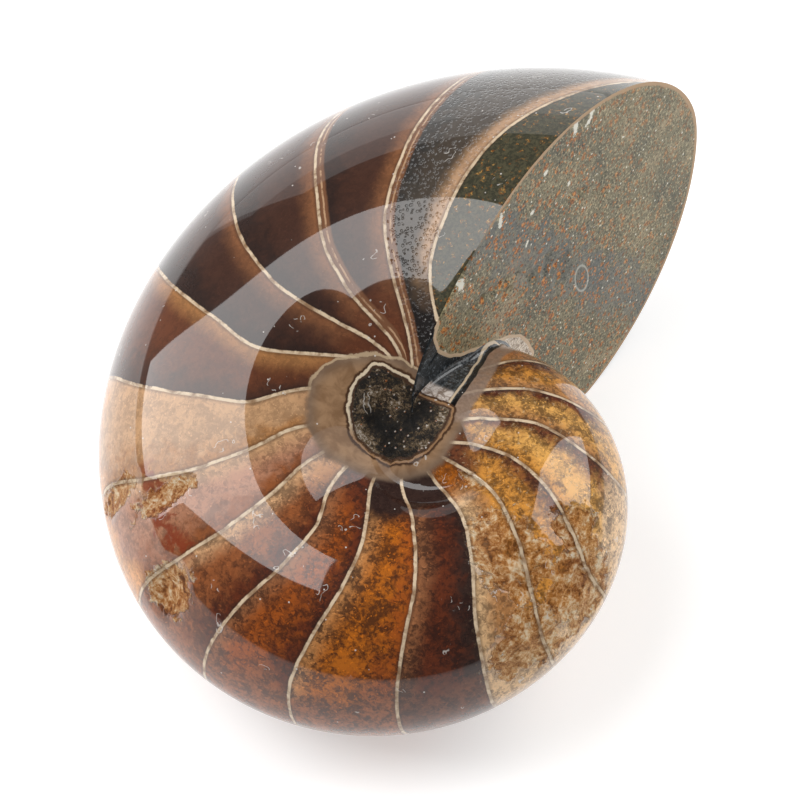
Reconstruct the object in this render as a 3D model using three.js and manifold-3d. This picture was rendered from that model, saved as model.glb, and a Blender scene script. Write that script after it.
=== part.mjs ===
// A polished fossil nautilus, sawn flat across its last whorl and lying on its flank.
// It is one solid stone. Millimetres, +Z up, the origin under the middle of its box.
//
// The shell is worked out about its coil axis, here called the shell's own Z. Growth is
// the angle that the shell has coiled through: 0 at the sawn face, negative in older shell.
// Around is the angle round the whorl's section: 0 on the rounded back, 90 on the flank,
// and more on the wall that goes down to the umbilicus, the hub of the coil.
import * as THREE from "three";
import { mergeVertices } from "three/addons/utils/BufferGeometryUtils.js";
import Module from "manifold-3d";

const wasm = await Module();
wasm.setup();

// The coil.
const SAWN_RADIUS = 54; // from the coil axis to the rounded back, at the saw cut
const GROWTH_PER_TURN = 2.995; // how many times larger each turn is than the one before

// The whorl's section, as shares of the whorl's radius.
const SECTION_MIDDLE = 0.417; // how far out the widest part lies
const SECTION_HALF_WIDTH = 0.435;
const SECTION_SQUARENESS = 1.768; // 2 is an ellipse, less is more pointed
const SECTION_EGG = 0.257; // how much wider it is towards the rounded back
const SECTION_ROUNDING = 0.12;

// The saw cut is almost radial, and stops where it meets the hub.
const CUT_TURN = 2.2; // degrees, about the coil axis
const CUT_LEAN = 2.0; // degrees, towards the upper flank
const CUT_HUB_TURN = 35; // degrees, the most that the cut's line turns near the hub

// The hub is filled and polished to a shallow saddle between the whorls.
const FILL_HEIGHT = 11.9; // above the middle plane, on the coil axis
const FILL_SLOPE = 0.15; // it rises towards the sawn face
const FILL_FALL = 0.041; // and falls with the square of the distance, per millimetre
const HUB_RADIUS = 6.6; // the whorl's wall dives under the fill inside this
const HUB_DIVE = 5.5;
const FILL_BLEND = 1.6; // how softly wall and fill run together
const INNER_RADIUS = 2.0; // all turns share the fill's surface inside this

// Where the upper flank lost shell before it was polished, in degrees of growth and around.
const HOLLOWS = [
  { growth: -153, around: 31, growthReach: 6.5, aroundReach: 14, depth: 1.0 },
  { growth: -251, around: 44, growthReach: 12, aroundReach: 26, depth: 0.45 },
  { growth: -236, around: 14, growthReach: 9, aroundReach: 16, depth: 0.4 },
];

// How it lies. The flank it lies on is worn to a small flat.
const COIL_LEAN = 10.5; // degrees, the coil axis from the vertical
const COIL_TURN = -54.1; // degrees, about the vertical
const SAWN_HEADING = 105.8; // degrees, where the sawn edge points in the coil's own plane
const WORN_DEPTH = 0.3;

const COLUMNS = 80; // steps of growth, from the oldest section that shows to the saw cut
const WALL_ROWS = 20; // steps around each flank, from the rounded back to the fill
const FILL_ROWS = 2; // rings of the fill inside that
const FACE_STEPS = 3; // steps across the sawn face, from the older whorl to the sawn edge
const ROWS = WALL_ROWS + FILL_ROWS;

const radians = THREE.MathUtils.degToRad;
const growthRate = Math.log(GROWTH_PER_TURN) / (2 * Math.PI);
const sawnHeading = radians(SAWN_HEADING);

function whorlRadius(growth) {
  return SAWN_RADIUS * Math.exp(growthRate * growth);
}

// The size of x raised to a power, with the sign of x, and straight very near zero,
// so that the section has no crease along its back or at its widest.
function signedPower(x, power) {
  return x * Math.hypot(x, SECTION_ROUNDING) ** (power - 1);
}

// The larger of two heights, rounded off where they are nearly equal.
function blendedHigher(a, b) {
  const nearness = Math.max(0, 1 - Math.abs(a - b) / FILL_BLEND);
  return Math.max(a, b) + (nearness ** 2 * FILL_BLEND) / 4;
}

// How far the upper flank is sunk at this growth and around: a smooth bowl at each hollow.
function hollowDepth(growth, around) {
  let depth = 0;
  for (const hollow of HOLLOWS) {
    const along = (growth - radians(hollow.growth)) / radians(hollow.growthReach);
    const across = (around - radians(hollow.around)) / radians(hollow.aroundReach);
    const inside = Math.max(0, 1 - along ** 2 - across ** 2);
    depth += hollow.depth * inside ** 2;
  }
  return depth;
}

// The section's angle at which it comes as near to the axis as the fill's inner ring.
function aroundAtInnerRadius(radius) {
  const past = (SECTION_MIDDLE - INNER_RADIUS / radius) / (1 - SECTION_MIDDLE);
  return Math.PI - Math.acos(past ** (SECTION_SQUARENESS / 2));
}

// Distance from the coil axis and from the middle plane, before the fill.
// Side is 1 for the upper flank and -1 for the lower one.
function wallPoint(growth, around, side) {
  const power = 2 / SECTION_SQUARENESS;
  const cosine = signedPower(Math.cos(around), power);
  const sine = signedPower(Math.sin(around), power);
  const radius = whorlRadius(growth);
  let out = SECTION_MIDDLE + (1 - SECTION_MIDDLE) * cosine;
  let high = SECTION_HALF_WIDTH * sine * (1 + SECTION_EGG * Math.cos(around));
  const reach = Math.hypot(out - SECTION_MIDDLE, high);
  const sunk = side > 0 ? hollowDepth(growth, around) : 0;
  const kept = 1 - sunk / (radius * reach);
  out = SECTION_MIDDLE + (out - SECTION_MIDDLE) * kept;
  high *= kept;
  return { out: radius * out, high: radius * high };
}

// A point of a flank at this growth. Rows run from the rounded back to the coil axis.
function flankPoint(growth, row, side) {
  let out;
  let high;
  if (row <= WALL_ROWS) {
    const around = (aroundAtInnerRadius(whorlRadius(growth)) * row) / WALL_ROWS;
    ({ out, high } = wallPoint(growth, around, side));
  } else {
    out = (INNER_RADIUS * (ROWS - row)) / FILL_ROWS;
    high = 0;
  }
  const heading = sawnHeading - growth;
  if (row > WALL_ROWS / 2) {
    const towardsFace = out * Math.cos(heading - sawnHeading);
    const fill = FILL_HEIGHT + FILL_SLOPE * towardsFace - FILL_FALL * out ** 2;
    const dive = HUB_DIVE * Math.max(0, 1 - out / HUB_RADIUS) ** 2;
    high = blendedHigher(high - dive, fill);
  }
  return new THREE.Vector3(out * Math.cos(heading), out * Math.sin(heading), side * high);
}

// The growth at which this row of a flank reaches the plane of the saw cut.
function growthAtCut(row, side, turnsBack) {
  const turn = radians(CUT_TURN);
  const lean = radians(CUT_LEAN);
  let growth = -2 * Math.PI * turnsBack;
  for (let pass = 0; pass < 12; pass++) {
    const point = flankPoint(growth, row, side);
    const out = Math.max(Math.hypot(point.x, point.y), INNER_RADIUS);
    const aside = -SAWN_RADIUS * Math.sin(turn) - point.z * Math.tan(lean);
    const sine = Math.max(aside / out, -Math.sin(radians(CUT_HUB_TURN)));
    growth = turn + Math.asin(sine) - 2 * Math.PI * turnsBack;
  }
  return growth;
}

// The whole surface as one closed net. The two flanks share their edge on the rounded
// back, the first and last columns meet inside the fill, and the sawn face is the strip
// between those two columns where they run apart.
function shellGeometry() {
  const positions = [];
  const known = new Map();
  const cuts = new Map();

  function cutGrowths(row, side) {
    const name = `${row} ${side}`;
    if (!cuts.has(name)) {
      cuts.set(name, [growthAtCut(row, side, 1), growthAtCut(row, side, 0)]);
    }
    return cuts.get(name);
  }

  function remembered(name, makePoint) {
    if (!known.has(name)) {
      const point = makePoint();
      known.set(name, positions.length / 3);
      positions.push(...point);
    }
    return known.get(name);
  }

  function vertex(column, row, side) {
    const shared = row >= WALL_ROWS;
    const ownSide = row === 0 ? 1 : side;
    const ownColumn = row === ROWS ? 0 : shared ? column % COLUMNS : column;
    return remembered(`${ownColumn} ${row} ${ownSide}`, () => {
      const [first, last] = cutGrowths(row, ownSide);
      const growth = first + ((last - first) * ownColumn) / COLUMNS;
      return flankPoint(growth, row, ownSide);
    });
  }

  function faceVertex(step, row, side) {
    const older = vertex(0, row, side);
    const sawn = vertex(COLUMNS, row, side);
    if (step === 0 || older === sawn) {
      return older;
    }
    if (step === FACE_STEPS) {
      return sawn;
    }
    const ownSide = row === 0 ? 1 : side;
    return remembered(`face ${step} ${row} ${ownSide}`, () => {
      const from = new THREE.Vector3().fromArray(positions, 3 * older);
      const to = new THREE.Vector3().fromArray(positions, 3 * sawn);
      return from.lerp(to, step / FACE_STEPS);
    });
  }

  const faces = [];
  function quad(a, b, c, d, side) {
    for (const corners of [
      [a, b, c],
      [a, c, d],
    ]) {
      if (new Set(corners).size === 3) {
        faces.push(...(side > 0 ? corners : corners.reverse()));
      }
    }
  }

  for (const side of [1, -1]) {
    for (let row = 0; row < ROWS; row++) {
      for (let column = 0; column < COLUMNS; column++) {
        quad(
          vertex(column, row, side),
          vertex(column, row + 1, side),
          vertex(column + 1, row + 1, side),
          vertex(column + 1, row, side),
          side,
        );
      }
    }
    for (let row = 0; row < WALL_ROWS; row++) {
      for (let step = 0; step < FACE_STEPS; step++) {
        quad(
          faceVertex(step, row, side),
          faceVertex(step + 1, row, side),
          faceVertex(step + 1, row + 1, side),
          faceVertex(step, row + 1, side),
          side,
        );
      }
    }
  }
  const geometry = new THREE.BufferGeometry();
  geometry.setAttribute("position", new THREE.Float32BufferAttribute(positions, 3));
  geometry.setIndex(faces);
  return geometry;
}

function solidOf(geometry) {
  const merged = mergeVertices(geometry, 1e-4);
  return new wasm.Manifold(
    new wasm.Mesh({
      numProp: 3,
      vertProperties: new Float32Array(merged.attributes.position.array),
      triVerts: new Uint32Array(merged.index.array),
    }),
  );
}

function geometryOf(solid) {
  const mesh = solid.getMesh();
  const geometry = new THREE.BufferGeometry();
  geometry.setAttribute("position", new THREE.BufferAttribute(mesh.vertProperties, 3));
  geometry.setIndex(new THREE.BufferAttribute(mesh.triVerts, 1));
  return geometry;
}

// The shell with the small flat that it lies on. Up is the vertical in the shell's frame.
function wornShell(up) {
  const geometry = shellGeometry();
  const points = geometry.attributes.position;
  let lowest = Infinity;
  for (let i = 0; i < points.count; i++) {
    lowest = Math.min(lowest, new THREE.Vector3().fromBufferAttribute(points, i).dot(up));
  }
  return geometryOf(solidOf(geometry).trimByPlane(up.toArray(), lowest + WORN_DEPTH));
}

const part = new THREE.Group();
part.rotation.set(radians(COIL_LEAN), 0, radians(COIL_TURN), "ZYX");

const up = new THREE.Vector3(0, 0, 1).applyQuaternion(part.quaternion.clone().invert());
const nautilus = new THREE.Mesh(
  wornShell(up),
  new THREE.MeshStandardMaterial({ color: 0x8a5a34, roughness: 0.25, metalness: 0 }),
);
nautilus.name = "nautilus";
part.add(nautilus);

// The part's box, once it lies as it should, is centred over the origin and stands on Z 0.
const box = new THREE.Box3().setFromObject(part, true);
const middle = box.getCenter(new THREE.Vector3());
part.position.set(-middle.x, -middle.y, -box.min.z);

export default part;
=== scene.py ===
# %% [markdown]
# # A fossil nautilus, sawn flat and polished
#
# The real object is a coiled shell whose chambers filled with mud and calcite and turned to
# stone. It was sawn across its last whorl and polished, so the thin chamber walls now show as
# cream lines in glossy amber, brown and grey stone. It lies on its flank on a white table.
#
# The solid was packed as one piece called nautilus. This lesson builds a finer shell in the
# same place, and spends most of its nodes on the stone.

# %% Load the solid and keep its box
import math
import bpy
import numpy as np
from mathutils import Matrix, Vector


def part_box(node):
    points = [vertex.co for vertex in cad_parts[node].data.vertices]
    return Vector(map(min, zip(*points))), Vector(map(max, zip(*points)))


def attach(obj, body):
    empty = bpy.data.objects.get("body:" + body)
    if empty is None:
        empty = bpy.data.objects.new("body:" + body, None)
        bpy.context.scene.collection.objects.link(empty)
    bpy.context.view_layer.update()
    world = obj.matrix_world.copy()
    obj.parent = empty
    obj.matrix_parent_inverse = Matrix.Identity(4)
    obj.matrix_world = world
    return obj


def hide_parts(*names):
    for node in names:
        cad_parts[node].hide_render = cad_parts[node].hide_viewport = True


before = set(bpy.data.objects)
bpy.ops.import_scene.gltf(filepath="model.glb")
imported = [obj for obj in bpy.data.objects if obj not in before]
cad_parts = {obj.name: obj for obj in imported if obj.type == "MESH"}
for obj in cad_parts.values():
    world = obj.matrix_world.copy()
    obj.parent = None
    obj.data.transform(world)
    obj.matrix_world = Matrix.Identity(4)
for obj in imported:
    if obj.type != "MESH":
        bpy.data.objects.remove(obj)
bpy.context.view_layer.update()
cad_low, cad_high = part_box("nautilus")
print("solid, mm:", [round(1000 * side, 1) for side in cad_high - cad_low])

# %% [markdown]
# ## The coil as a formula
#
# A nautilus grows by the same share in every turn, so its shell is a logarithmic spiral with
# one section that only gets larger. Growth is the angle that the shell has coiled through, 0
# at the sawn face and negative in older shell. Around is the angle round the section, 0 on the
# rounded back and 90 degrees on the flank. The values are those of the solid, so that the two
# agree, but here the net is five times finer.

# %% The coil's measures, in millimetres and degrees
MM = 0.001
SAWN_RADIUS = 54.0
GROWTH_PER_TURN = 2.995
SECTION_MIDDLE = 0.417
SECTION_HALF_WIDTH = 0.435
SECTION_SQUARENESS = 1.768
SECTION_EGG = 0.257
SECTION_ROUNDING = 0.12
CUT_TURN = math.radians(2.2)
CUT_LEAN = math.radians(2.0)
CUT_HUB_TURN = math.radians(35)
FILL_HEIGHT = 11.9
FILL_SLOPE = 0.15
FILL_FALL = 0.041
HUB_RADIUS = 6.6
HUB_DIVE = 5.5
FILL_BLEND = 1.6
INNER_RADIUS = 2.0
COIL_LEAN = math.radians(10.5)
COIL_TURN = math.radians(-54.1)
SAWN_HEADING = math.radians(105.8)
WORN_DEPTH = 0.3
GROWTH_RATE = math.log(GROWTH_PER_TURN) / math.tau
HOLLOWS = [
    (-153, 31, 6.5, 14, 1.0),
    (-251, 44, 12, 26, 0.45),
    (-236, 14, 9, 16, 0.4),
]
print("one turn ago the radius was", round(SAWN_RADIUS / GROWTH_PER_TURN, 1), "mm")

# %% The net's steps
COLUMNS = 360
WALL_ROWS = 88
FILL_ROWS = 9
ROWS = WALL_ROWS + FILL_ROWS
FACE_CUTS = 35
print("net of", COLUMNS + 1, "columns and", 2 * ROWS + 1, "rows")


# %% A point of the flank for any growth and row
def signed_power(x, power):
    """x raised to a power with its sign kept, and straight very near zero."""
    return x * np.hypot(x, SECTION_ROUNDING) ** (power - 1)


def whorl_radius(growth):
    return SAWN_RADIUS * np.exp(GROWTH_RATE * growth)


def around_at(growth, row):
    """The section's angle at this row. The last wall row is as near the axis as the hub's rings."""
    inner = (SECTION_MIDDLE - INNER_RADIUS / whorl_radius(growth)) / (1 - SECTION_MIDDLE)
    last = np.pi - np.arccos(np.clip(inner, 0.0, 1.0) ** (SECTION_SQUARENESS / 2))
    return last * np.minimum(row, WALL_ROWS) / WALL_ROWS


def hollow_depth(growth, around):
    """How far the upper flank is sunk, as a smooth bowl at each hollow."""
    depth = np.zeros(np.broadcast(growth, around).shape)
    for hollow_growth, hollow_around, long, wide, deep in HOLLOWS:
        along = (np.degrees(growth) - hollow_growth) / long
        across = (np.degrees(around) - hollow_around) / wide
        depth += deep * np.clip(1 - along**2 - across**2, 0, None) ** 2
    return depth


def blended_higher(a, b):
    """The larger of two heights, rounded off where they are nearly equal."""
    nearness = np.clip(1 - np.abs(a - b) / FILL_BLEND, 0, None)
    return np.maximum(a, b) + nearness**2 * FILL_BLEND / 4


def fill_height(out, growth):
    return FILL_HEIGHT + FILL_SLOPE * out * np.cos(growth) - FILL_FALL * out**2


def flank_point(growth, row, side):
    """x, y and z in the shell's own frame. Side is 1 on the upper flank and -1 on the lower."""
    radius = whorl_radius(growth)
    around = around_at(growth, row)
    power = 2 / SECTION_SQUARENESS
    out = SECTION_MIDDLE + (1 - SECTION_MIDDLE) * signed_power(np.cos(around), power)
    high = SECTION_HALF_WIDTH * signed_power(np.sin(around), power)
    high = high * (1 + SECTION_EGG * np.cos(around))
    reach = np.hypot(out - SECTION_MIDDLE, high)
    sunk = np.where(side > 0, hollow_depth(growth, around), 0)
    kept = 1 - sunk / (radius * reach)
    out = radius * (SECTION_MIDDLE + (out - SECTION_MIDDLE) * kept)
    high = radius * high * kept
    ring = INNER_RADIUS * (ROWS - row) / FILL_ROWS
    out = np.where(row > WALL_ROWS, ring, out)
    high = np.where(row > WALL_ROWS, 0, high)
    dive = HUB_DIVE * np.clip(1 - out / HUB_RADIUS, 0, None) ** 2
    filled = blended_higher(high - dive, fill_height(out, growth))
    high = np.where(row > WALL_ROWS / 2, filled, high)
    heading = SAWN_HEADING - growth
    return out * np.cos(heading), out * np.sin(heading), side * high


print("the fill's height on the coil's axis is", round(float(fill_height(0.0, 0.0)), 1), "mm")


# %% Where each row meets the saw cut
def growth_at_cut(row, side, turns_back):
    growth = np.full(row.shape, -math.tau * turns_back)
    for _ in range(12):
        x, y, z = flank_point(growth, row, side)
        out = np.maximum(np.hypot(x, y), INNER_RADIUS)
        aside = -SAWN_RADIUS * math.sin(CUT_TURN) - z * math.tan(CUT_LEAN)
        sine = np.maximum(aside / out, -math.sin(CUT_HUB_TURN))
        growth = CUT_TURN + np.arcsin(sine) - math.tau * turns_back
    return growth


row_grid = np.arange(-ROWS, ROWS + 1)
row_steps = np.abs(row_grid).astype(float)
row_sides = np.where(row_grid < 0, -1.0, 1.0)
oldest = growth_at_cut(row_steps, row_sides, 1)
newest = growth_at_cut(row_steps, row_sides, 0)
share = np.arange(COLUMNS + 1)[:, None] / COLUMNS
growth_grid = oldest + (newest - oldest) * share
around_grid = around_at(growth_grid, row_steps)
place_grid = np.stack(flank_point(growth_grid, row_steps, row_sides), axis=-1)
print("net:", place_grid.shape[:2], "reach", np.round(np.ptp(place_grid, axis=(0, 1)), 1), "mm")

# %% [markdown]
# ## Spinning the section
#
# By hand this shell would be one open section, spun about the coil's axis. So it starts as a
# circle that loses one vertex and is spun almost a full turn. The vertices then move to where
# the formula puts them. A spiral made by repeated extrusion would do too, but its many small
# turns add up to an error.

# %% Spin an open circle
SPIN_RADIUS = 3.0
SPIN_ANGLE = math.radians(350)


def deselect_everything():
    for chosen in bpy.context.selected_objects:
        chosen.select_set(False)


def select_vertices(piece, chosen):
    """Goes to edit mode with just these vertices selected."""
    bpy.ops.object.mode_set(mode="EDIT")
    bpy.ops.mesh.select_mode(type="VERT")
    bpy.ops.mesh.select_all(action="DESELECT")
    bpy.ops.object.mode_set(mode="OBJECT")
    piece.data.vertices.foreach_set("select", np.asarray(chosen, dtype=bool))
    bpy.ops.object.mode_set(mode="EDIT")


deselect_everything()
bpy.ops.mesh.primitive_circle_add(
    vertices=2 * ROWS + 2,
    radius=1.0,
    location=(SPIN_RADIUS, 0, 0),
    rotation=(math.pi / 2, 0, 0),
)
shell = bpy.context.object
shell.name = "nautilus_shell"
bpy.ops.object.transform_apply(location=True, rotation=True, scale=True)
# The circle opens where it loses the one vertex that is nearest to the axis.
nearest = [vertex.co.x < SPIN_RADIUS - 0.99999 for vertex in shell.data.vertices]
print("vertices to open the circle:", sum(nearest))
select_vertices(shell, nearest)
bpy.ops.mesh.delete(type="VERT")
bpy.ops.mesh.select_all(action="SELECT")
bpy.ops.mesh.spin(steps=COLUMNS, angle=SPIN_ANGLE, center=(0, 0, 0), axis=(0, 0, 1))
bpy.ops.object.mode_set(mode="OBJECT")
print("spun:", len(shell.data.vertices), "vertices,", len(shell.data.polygons), "faces")


# %% Move the vertices to the spiral
def coordinates(mesh):
    flat = np.empty(len(mesh.vertices) * 3)
    mesh.vertices.foreach_get("co", flat)
    return flat.reshape(-1, 3)


def set_coordinates(mesh, places):
    mesh.vertices.foreach_set("co", places.ravel())
    mesh.update()


def set_attribute(mesh, name, values):
    layer = mesh.attributes.new(name, "FLOAT", "POINT")
    layer.data.foreach_set("value", np.ascontiguousarray(values, dtype=np.float32))


spun = coordinates(shell.data)
turned = np.degrees(np.arctan2(spun[:, 1], spun[:, 0])) % 360
turned = np.where(turned > 0.1, 360 - turned, 0)
column = np.rint(turned / math.degrees(SPIN_ANGLE) * COLUMNS).astype(int)
section_angle = np.arctan2(spun[:, 2], np.hypot(spun[:, 0], spun[:, 1]) - SPIN_RADIUS)
row = np.rint(section_angle / math.tau * (2 * ROWS + 2)).astype(int) + ROWS
print("columns", column.min(), "to", column.max(), "rows", row.min() - ROWS, "to", row.max() - ROWS)
set_coordinates(shell.data, place_grid[column, row] * MM)
set_attribute(shell.data, "growth", np.degrees(growth_grid[column, row]))
set_attribute(shell.data, "around", np.degrees(around_grid[column, row]) * row_sides[row])
set_attribute(shell.data, "column", column)
set_attribute(shell.data, "row", row_grid[row])

# %% [markdown]
# ## Closing the sawn face
#
# The first and last columns are the older whorl's outline and the sawn edge. They lie in the
# plane of the cut, so a bridge between them is the sawn face. It is cut into strips, and the
# vertices that meet in the filled hub are merged. A single large face would do for a flat
# surface, but it would shade badly where its outline is not convex.


# %% Bridge the two edges of the cut
def read_attribute(mesh, name):
    values = np.empty(len(mesh.attributes[name].data), dtype=np.float32)
    mesh.attributes[name].data.foreach_get("value", values)
    return values


columns_now = np.rint(read_attribute(shell.data, "column"))
rows_now = np.rint(read_attribute(shell.data, "row"))
ends = (columns_now == 0) | (columns_now == COLUMNS)
ends &= np.abs(rows_now) <= WALL_ROWS
FLANK_SLOT, SAWN_SLOT = 0, 1
shell.data.materials.append(None)
shell.data.materials.append(None)
flank_faces = len(shell.data.polygons)
select_vertices(shell, ends)
bpy.ops.mesh.select_mode(type="EDGE")
bpy.ops.mesh.bridge_edge_loops(type="SINGLE", number_cuts=FACE_CUTS, interpolation="LINEAR")
bpy.ops.object.mode_set(mode="OBJECT")
for polygon in shell.data.polygons[flank_faces:]:
    polygon.material_index = SAWN_SLOT
print("sawn face:", len(shell.data.polygons) - flank_faces, "faces")
bpy.ops.object.mode_set(mode="EDIT")
bpy.ops.mesh.select_mode(type="VERT")
bpy.ops.mesh.select_all(action="SELECT")
bpy.ops.mesh.remove_doubles(threshold=2e-6)
bpy.ops.mesh.normals_make_consistent(inside=False)
bpy.ops.object.mode_set(mode="OBJECT")
print("closed:", len(shell.data.vertices), "vertices,", len(shell.data.polygons), "faces")

# %% [markdown]
# ## Laying it down
#
# The coil is turned and leant as the solid lies, and the flank it rests on is worn to a small
# flat. A bisect with a fill cuts that flat. Then the piece is centred in the solid's box, and
# its turn is applied, because a finished piece's object sits unturned at the origin.

# %% Turn, wear and centre the shell
lying = Matrix.Rotation(COIL_TURN, 4, "Z") @ Matrix.Rotation(COIL_LEAN, 4, "X")
shell.matrix_world = lying
bpy.ops.object.transform_apply(location=False, rotation=True, scale=False)
lowest = coordinates(shell.data)[:, 2].min() + WORN_DEPTH * MM
bpy.ops.object.mode_set(mode="EDIT")
bpy.ops.mesh.select_all(action="SELECT")
bpy.ops.mesh.bisect(
    plane_co=(0, 0, lowest), plane_no=(0, 0, 1), use_fill=True, clear_inner=True
)
bpy.ops.mesh.select_all(action="SELECT")
bpy.ops.mesh.quads_convert_to_tris()
bpy.ops.object.mode_set(mode="OBJECT")
lying_places = coordinates(shell.data)
box_low = lying_places.min(axis=0)
box_high = lying_places.max(axis=0)
coil_centre = Vector((cad_low + cad_high) / 2) - Vector((box_low + box_high) / 2)
coil_centre.z = cad_low.z - box_low[2]
shell.location = coil_centre
bpy.ops.object.transform_apply(location=True, rotation=False, scale=False)
print("coil centre, mm:", [round(1000 * side, 2) for side in coil_centre])
larger_by = box_high - box_low - np.array(cad_high - cad_low)
print("box against the solid's, mm:", np.round(1000 * larger_by, 3))

# %% [markdown]
# ## Rounding the corner at the hub
#
# The saw and the polisher left a crisp edge along most of the sawn face, but near the hub the
# edge is worn into a soft corner. The Smooth modifier does this by hand in a moment: a vertex
# group says where it works, and fades to nothing around it.

# %% Places in the shell's own frame, in millimetres
unlying = np.array(lying.to_3x3().inverted())


def shell_places(mesh):
    return (coordinates(mesh) - np.array(coil_centre)) @ unlying.T / MM


def smooth_step(value, low, high):
    part = np.clip((value - low) / (high - low), 0, 1)
    return part * part * (3 - 2 * part)


print("reach in its own frame, mm:", np.round(np.abs(shell_places(shell.data)).max(axis=0), 1))


# %% Smooth the corner
CORNER_HEADING = math.radians(118)
CORNER_REACH = 19.0
CORNER_WIDTH = 5.0
places = shell_places(shell.data)
along = places[:, 0] * math.cos(CORNER_HEADING) + places[:, 1] * math.sin(CORNER_HEADING)
aside = places[:, 0] * math.sin(CORNER_HEADING) - places[:, 1] * math.cos(CORNER_HEADING)
weights = smooth_step(along, CORNER_REACH, CORNER_REACH - 6) * smooth_step(along, -1, 3)
weights *= smooth_step(np.abs(aside), CORNER_WIDTH, 1.5) * (places[:, 2] > 0)
corner = shell.vertex_groups.new(name="worn_corner")
for index in np.flatnonzero(weights > 0.01):
    corner.add([int(index)], float(weights[index]), "REPLACE")
wear = shell.modifiers.new("worn_corner", "SMOOTH")
wear.vertex_group = corner.name
wear.factor = 0.5
wear.iterations = 60
bpy.ops.object.modifier_apply(modifier=wear.name)
print("corner vertices:", int((weights > 0.01).sum()))

# %% [markdown]
# ## Where each chamber begins
#
# The septa, the walls between the chambers, are bowls that open towards the mouth. On the
# polished flank each one shows as a curved line. A row of the table gives the growth at which
# one septum crosses seven angles around, read off the specimen to half a degree. From it every
# vertex gets a chamber number that is whole on a septum and runs on smoothly between two, and
# the width of its chamber in millimetres. The shader then draws a line of any thickness that
# stays sharp however close the camera is, which a painted image would not.

# %% Septa: growth at each angle around
SEPTUM_ANGLES = np.array([0, 30, 50, 70, 90, 105, 120.0])
SEPTA = np.array([
    [5.5, 0.5, -6, -14.5, -20, -21.5, -8],
    [-20.5, -24, -28, -33.5, -38.5, -36.5, -29],
    [-37, -43.5, -50, -54, -57.5, -53.5, -37.5],
    [-57.5, -63.5, -69.5, -74.5, -74, -65.5, -44.5],
    [-81, -85, -89, -92.5, -94.5, -83, -56],
    [-102.5, -106.5, -111, -114, -113.5, -101, -82.5],
    [-127, -127.5, -132, -134.5, -130.5, -121, -111.5],
    [-147, -148.5, -152, -153.5, -149.5, -139.5, -126],
    [-166, -167.5, -170, -173.5, -171.5, -158.5, -142],
    [-186.5, -186.5, -189.5, -193.5, -193, -185, -166],
    [-208.5, -210, -213, -217, -217, -213.5, -198.5],
    [-229, -230.5, -233, -239, -244.5, -244.5, -238.5],
    [-245.5, -247.5, -253, -260.5, -268.5, -272, -267.5],
    [-267, -268, -275.5, -285.5, -295, -297, -292],
    [-294.5, -298, -304, -314.5, -320.5, -323, -320],
    [-317, -320, -328, -339, -347.5, -350, -350],
    [-336.5, -346, -352.5, -359, -366, -370, -370],
])
BEFORE_FIRST = 20.0
print(len(SEPTA), "septa")


# %% The chamber number of every vertex
def through(knots, values, x):
    """A smooth curve through the values, read at x."""
    slopes = np.gradient(values, knots)
    index = np.clip(np.searchsorted(knots, x) - 1, 0, len(knots) - 2)
    step = knots[index + 1] - knots[index]
    part = (x - knots[index]) / step
    rise = values[index + 1] - values[index]
    start, end = slopes[index] * step, slopes[index + 1] * step
    return values[index] + part * (
        start + part * (3 * rise - 2 * start - end + part * (start + end - 2 * rise))
    )


def chamber_numbers(growth, around):
    around = np.minimum(np.hypot(around, 9.0), SEPTUM_ANGLES[-1])
    lines = [through(SEPTUM_ANGLES, septum, around) for septum in SEPTA]
    lines.insert(0, lines[0] + BEFORE_FIRST)
    lines.append(lines[-1] - BEFORE_FIRST)
    number = np.full(growth.shape, -1.0)
    for earlier, later in zip(lines, lines[1:]):
        number += np.clip((earlier - growth) / (earlier - later), 0, 1)
    return number


chamber_grid = chamber_numbers(np.degrees(growth_grid), np.degrees(around_grid))
by_column = np.gradient(place_grid, axis=0)
by_row = np.gradient(place_grid, axis=1)
long = (by_column**2).sum(axis=-1)
wide = (by_row**2).sum(axis=-1)
skew = (by_column * by_row).sum(axis=-1)
rise_column = np.gradient(chamber_grid, axis=0)
rise_row = np.gradient(chamber_grid, axis=1)
steepness = wide * rise_column**2 - 2 * skew * rise_column * rise_row + long * rise_row**2
steepness = np.sqrt(np.maximum(steepness, 0) / np.maximum(long * wide - skew**2, 1e-9))
width_grid = np.clip(1 / np.maximum(steepness, 1e-3), 0.5, 60)

columns_now = np.clip(np.rint(read_attribute(shell.data, "column")), 0, COLUMNS).astype(int)
rows_now = np.clip(np.rint(read_attribute(shell.data, "row")) + ROWS, 0, 2 * ROWS).astype(int)
set_attribute(shell.data, "chamber", chamber_grid[columns_now, rows_now])
set_attribute(shell.data, "chamber_mm", width_grid[columns_now, rows_now])
print("chambers are", np.round(np.percentile(width_grid, [5, 50, 95]), 1), "mm wide")

# %% [markdown]
# ## Outlines at the hub
#
# The hub is a ring of clouded stone round a dark comma, the filled mouth of the inner whorl. A
# thin crack and a septum cross the corner beside it. Each is given by a few points in the
# coil's own plane, in millimetres from the coil's axis, and every vertex gets its distance to
# that outline, less than 0 inside. A bent tube laid on the surface would stand out as a ridge,
# and these are polished flush.

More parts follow.
